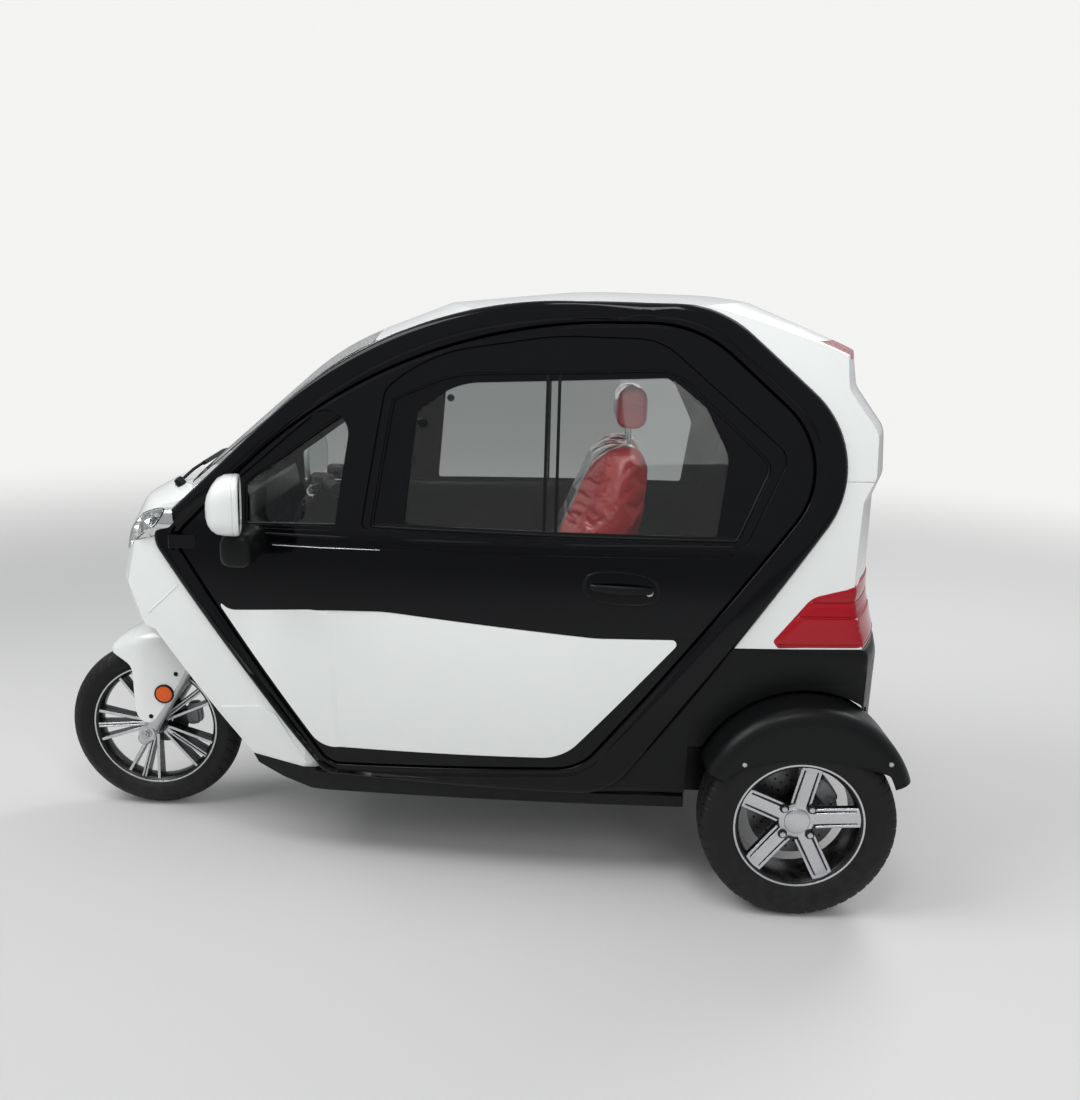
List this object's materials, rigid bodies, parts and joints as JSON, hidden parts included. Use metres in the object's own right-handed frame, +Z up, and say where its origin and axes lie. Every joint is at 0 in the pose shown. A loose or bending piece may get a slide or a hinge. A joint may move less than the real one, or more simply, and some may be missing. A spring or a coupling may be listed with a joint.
{
  "type": "enclosed three wheeled car",
  "caption": "Enclosed electric three wheeled car with a raked steered front wheel, framed side doors, a hollow cab with a seat and bench, and a rear axle under mudguards.",
  "frame": {"origin": "on the floor, under the middle of the whole car", "axes": "+Y to the tail, +X to the car's left, +Z up"},
  "size_m": [1.18, 2.382, 1.5779],
  "materials": {
    "body_white": "gloss",
    "gloss_black": "gloss",
    "satin_black": "satin",
    "window_glass": "gloss",
    "tyre_rubber": "matte",
    "wheel_alloy": "machined",
    "frame_paint": "satin",
    "bright_steel": "bright",
    "seat_cloth": "satin",
    "lamp_red": "gloss",
    "lamp_clear": "gloss"
  },
  "bodies": {
    "car_body": {"battery_box": "satin_black", "cross_members": "frame_paint", "dashboard": "satin_black", "floor_pan": "frame_paint", "frame_rails": "frame_paint", "headlights": "lamp_clear", "headrest": "seat_cloth", "left_hoop": "gloss_black", "nose_panel": "body_white", "rear_axle": "frame_paint", "rear_bench": "seat_cloth", "rear_bumper": "satin_black", "rear_mudguards": "satin_black", "rear_shocks": "bright_steel", "rear_window": "window_glass", "right_hoop": "gloss_black", "roof_lamps": "lamp_red", "roof_panel": "body_white", "seat_back": "seat_cloth", "seat_base": "satin_black", "seat_cushion": "seat_cloth", "sills": "satin_black", "steering_head": "frame_paint", "tail_body": "body_white", "tail_lamps": "lamp_red", "wheel_arch_liner": "satin_black", "windscreen": "window_glass"},
    "steering": {"fork": "wheel_alloy", "front_axle": "bright_steel", "front_mudguard": "body_white", "handlebar": "satin_black"},
    "front_wheel": {"front_wheel": "wheel_alloy", "front_tyre": "tyre_rubber"},
    "rear_left_wheel": {"rear_left_wheel": "wheel_alloy", "rear_left_tyre": "tyre_rubber"},
    "rear_right_wheel": {"rear_right_wheel": "wheel_alloy", "rear_right_tyre": "tyre_rubber"},
    "left_door": {"left_door": "gloss_black", "left_door_glass": "window_glass", "left_door_handle": "satin_black", "left_door_panel": "body_white", "left_mirror": "body_white"},
    "right_door": {"right_door": "gloss_black", "right_door_glass": "window_glass", "right_door_handle": "satin_black", "right_door_panel": "body_white", "right_mirror": "body_white"}
  },
  "joints": [
    {"name": "steering_turn", "type": "hinge", "parent": "car_body", "child": "steering", "pos_m": [0, -0.89614, 0.23585], "axis": [0, 0.515, 0.8572], "range_deg": [-35, 35]},
    {"name": "front_wheel_spin", "type": "hinge", "parent": "steering", "child": "front_wheel", "pos_m": [0, -0.933, 0.258], "axis": [1, 0, 0], "continuous": true},
    {"name": "rear_left_wheel_spin", "type": "hinge", "parent": "car_body", "child": "rear_left_wheel", "pos_m": [0.504, 0.915, 0.254], "axis": [1, 0, 0], "continuous": true},
    {"name": "rear_right_wheel_spin", "type": "hinge", "parent": "car_body", "child": "rear_right_wheel", "pos_m": [-0.504, 0.915, 0.254], "axis": [1, 0, 0], "continuous": true},
    {"name": "left_door_swing", "type": "hinge", "parent": "car_body", "child": "left_door", "pos_m": [0.31923, -0.754, 0.899], "axis": [0, 0, -1], "range_deg": [0, 65]},
    {"name": "right_door_swing", "type": "hinge", "parent": "car_body", "child": "right_door", "pos_m": [-0.31923, -0.754, 0.899], "axis": [0, 0, 1], "range_deg": [0, 65]}
  ]
}
